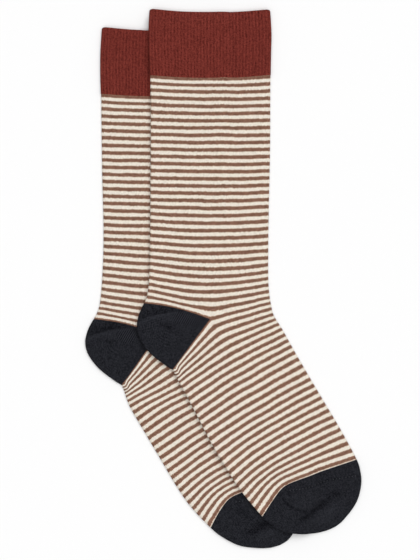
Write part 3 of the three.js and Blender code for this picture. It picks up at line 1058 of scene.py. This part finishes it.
def heel_points(sock):
    """Cloth points of a heel pocket, one row for each spoke, and their wales and courses."""
    radius = top_height(HEEL_THICK, 0) / 2
    turn = np.linspace(0, 1, HEEL_ROWS + 1)
    reach = through(HEEL_SPOKES, turn)[:, 0]
    inward = np.linspace(1, 0, HEEL_FACE_STEPS + 1)[None, :]
    from_edge = radius + (reach[:, None] - radius - ANKLE_GAP) * inward
    angle = np.pi * np.arange(1, HEEL_FOLD_STEPS) / HEEL_FOLD_STEPS
    fold_across = np.repeat(radius - radius * np.sin(angle)[None, :], len(turn), axis=0)
    fold_height = np.repeat(radius + radius * np.cos(angle)[None, :], len(turn), axis=0)
    across = np.concatenate([from_edge, fold_across, from_edge[:, ::-1]], axis=1)
    turns = np.repeat(turn[:, None], across.shape[1], axis=1)
    place = heel_point(turns, across / reach[:, None])
    in_face = (across - radius) / (reach[:, None] - radius)
    top = top_height(HEEL_THICK, across - radius) + fullness(turns, in_face)
    flat_count = HEEL_FACE_STEPS + 1
    height = np.concatenate([top[:, :flat_count], fold_height, 0 * top[:, -flat_count:]], axis=1)
    on_top = top_layer(height, 2 * radius)
    on_table = settled(height, 2 * radius, across)
    off = reach[:, None] - across
    mitre = np.minimum(turns, 1 - turns) * (HEEL_END - HEEL_START)
    wales = off * np.cos(mitre) / WALE_WIDTH
    courses = off * np.sin(mitre) / COURSE_HEIGHT
    return lie(sock, place, height, on_table, on_top), wales, courses


for sock in ("lower", "upper"):
    place, wales, courses = heel_points(sock)
    piece = knitted(f"{sock}_heel_knit", place, wales, courses, POCKET_WALL)
    dress(piece, f"{sock}_heel", navy)

# %% [markdown]
# ## Toes
# The toe cap is two layers that meet all along the toe's outline. The mesh is a grid of courses, laid
# down the top layer and back up the under layer, with its columns and rows close together near the
# outline. How far a point is from the outline sets its height there, so the rim is evenly round.

# %% How far a point is from the toe's outline
OUTLINE_STEPS = 400
TIP_STEPS = 60
SMALLEST = 1e-12


def toe_outline():
    """Points down the back of the toe, across its tip and up its front."""
    edge = Course(FOOT_COURSES, np.linspace(TOE_COURSE - 2, TOE_TIP, OUTLINE_STEPS))
    tip = Course(FOOT_COURSES, np.full(TIP_STEPS, TOE_TIP))
    back = edge.at(np.zeros(OUTLINE_STEPS))
    front = edge.at(np.ones(OUTLINE_STEPS))
    return np.concatenate([back, tip.at(np.linspace(0, 1, TIP_STEPS)), front[::-1]])


def to_outline(place):
    """Distance of each place from the toe's outline."""
    outline = toe_outline()
    flat = place.reshape(-1, 2)
    distance = np.full(len(flat), np.inf)
    for a, b in zip(outline, outline[1:]):
        step = b - a
        u = np.clip(((flat - a) @ step) / max(step @ step, SMALLEST), 0, 1)
        distance = np.minimum(distance, np.linalg.norm(flat - a - u[:, None] * step, axis=1))
    return distance.reshape(place.shape[:-1])


print("points on the toe's outline:", len(toe_outline()))

# %% [markdown]
# ## The cap of the toe
# Both layers use the same grid of places. The top one bulges up from the rim and the under one curves down
# to the table. Next to the foot, the cap follows the foot's side folds, so that the two pieces meet there.

# %% Make toes
TOE_COLUMNS = 180
TOE_ROWS = 100
CROWDING = 0.7
TOE_SLANT = math.atan2(-95, 83)


def crowded(even, curved):
    """Steps that lie closer together where the curve is flat."""
    return (1 - CROWDING) * even + CROWDING * curved


def toe_points(sock):
    """Cloth points of a toe cap, the top layer's rows and then the under layer's, and their knit."""
    even = np.linspace(0, 1, TOE_COLUMNS + 1)
    t = crowded(even, 0.5 - 0.5 * np.cos(np.pi * even))
    even = np.linspace(0, 1, TOE_ROWS + 1)
    stripe = TOE_COURSE + (TOE_TIP - TOE_COURSE) * crowded(even, np.sin(np.pi / 2 * even))
    stripes, ts = np.meshgrid(stripe, t, indexing="ij")
    course = Course(FOOT_COURSES, stripes)
    place = course.at(ts)
    across = np.minimum(ts, 1 - ts) * course.width
    free = ease(stripes, TOE_COURSE, TOE_COURSE + 2)
    to_edge = across + (to_outline(place) - across) * free
    radius = top_height(course.thick, 0) / 2
    inside = radius - np.minimum(to_edge, radius)
    bulge = np.sqrt(np.maximum(radius**2 - inside**2, 0))
    top = np.where(to_edge < radius, radius + bulge, top_height(course.thick, to_edge - radius))
    under = radius - bulge
    both = []
    for height in (top, under):
        on_table = settled(height, 2 * radius, to_edge)
        on_top = top_layer(height, 2 * radius)
        both.append(lie(sock, place, height, on_table, on_top))
    ahead = place[..., 0] * math.cos(TOE_SLANT) + place[..., 1] * math.sin(TOE_SLANT)
    aside = place[..., 0] * -math.sin(TOE_SLANT) + place[..., 1] * math.cos(TOE_SLANT)
    top_and_under = [both, [aside / WALE_WIDTH] * 2, [ahead / COURSE_HEIGHT] * 2]
    return [np.concatenate([first, second[::-1][1:]]) for first, second in top_and_under]


toes = {}
for sock in ("lower", "upper"):
    place, wales, courses = toe_points(sock)
    toes[sock] = knitted(f"{sock}_toe_knit", place, wales, courses, POCKET_WALL)

# %% [markdown]
# ## Toe seams
# A toe is closed by linking: loop by loop, the two open edges are joined across the top of the toes. The
# seam shows as a faint dotted line. Each of its stitches is a small flattened ball here, set down where a
# ray from above meets the cloth, so that it is half sunk in it, and turned a little across the seam.

# %% Link the toes
SEAM_STITCH = 2.4
SEAM_BEAD = (0.5, 0.42, 0.4)
BEAD_TURN = 0.5
ABOVE = 0.05
LINKING_COLOUR = (0.030, 0.032, 0.039)
linking, _ = plain_material("linking_yarn", LINKING_COLOUR, 0.9, 0.5)


def seam_places(sock):
    """Evenly spaced places along the seam, in the frame, with the seam's direction at each."""
    line = laid(sock, np.array(SEAM_LINE, float)) - np.array(PAIR_CENTRE)
    lengths = np.concatenate([[0], np.cumsum(np.linalg.norm(np.diff(line, axis=0), axis=1))])
    at = np.arange(0, lengths[-1], SEAM_STITCH)
    x, y = (np.interp(at, lengths, line[:, axis]) for axis in (0, 1))
    return x, y, np.arctan2(np.gradient(y), np.gradient(x))


for sock, toe in toes.items():
    beads = []
    for x, y, turned in zip(*seam_places(sock)):
        _, place, _, _ = toe.ray_cast((x * MM, y * MM, ABOVE), (0, 0, -1))
        bpy.ops.mesh.primitive_uv_sphere_add(
            segments=10, ring_count=6, radius=MM, location=place,
            rotation=(0, 0, turned + BEAD_TURN), scale=SEAM_BEAD,
        )
        beads.append(bpy.context.object)
    bpy.ops.object.select_all(action="DESELECT")
    for bead in beads:
        bead.select_set(True)
    bpy.ops.object.join()
    seam = bpy.context.object
    seam.name = f"{sock}_toe_seam"
    bpy.ops.object.transform_apply(location=True, rotation=True, scale=True)
    bpy.ops.object.shade_smooth()
    seam.data.materials.append(linking)
    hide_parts(f"{sock}_toe")
    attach(seam, "root")
    dress(toe, f"{sock}_toe", navy)
    print(seam.name, "stitches:", len(beads))
